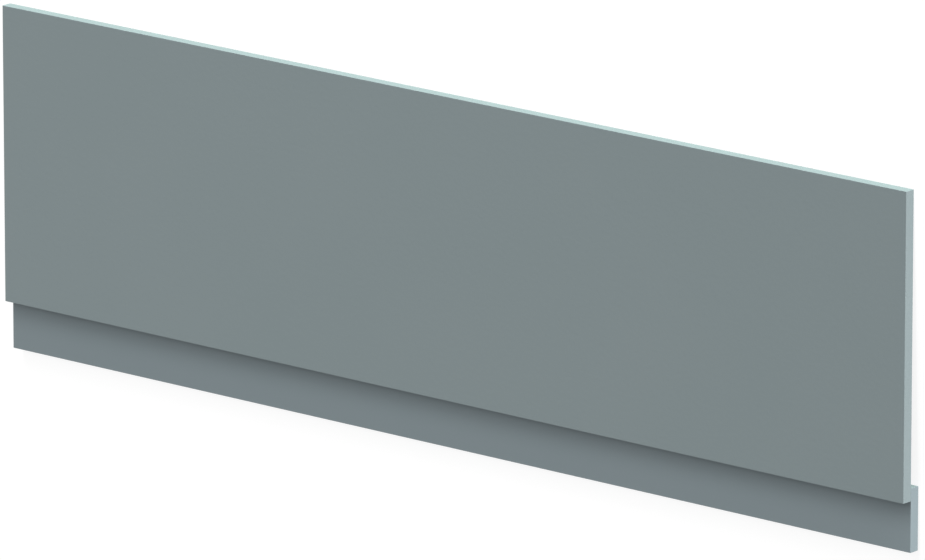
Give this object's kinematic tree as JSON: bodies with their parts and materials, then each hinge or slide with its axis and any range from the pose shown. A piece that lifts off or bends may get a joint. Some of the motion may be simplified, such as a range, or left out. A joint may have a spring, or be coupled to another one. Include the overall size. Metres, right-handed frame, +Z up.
{
  "type": "bath panel",
  "caption": "Long flat board that closes the open side of a bath, with a plinth board lapped behind its lower edge as a set-back foot.",
  "frame": {"origin": "centre of the base on the floor plane, with the panel lying face up at rest", "axes": "+X along the boards, +Y towards the panel's top edge, +Z up, out of the show face. The boards lean 2.24 degrees about X, as they rest on the plinth's upper back arris and the panel's upper back arris. The axis of mount top_edge is the panel's own up direction and the axis of mount plinth_back is the reverse of its show face's normal."},
  "size_m": [1.8, 0.561, 0.0367],
  "materials": {
    "board_finish": "satin"
  },
  "bodies": {
    "root": {"front_panel": "board_finish", "plinth": "board_finish"}
  },
  "joints": []
}
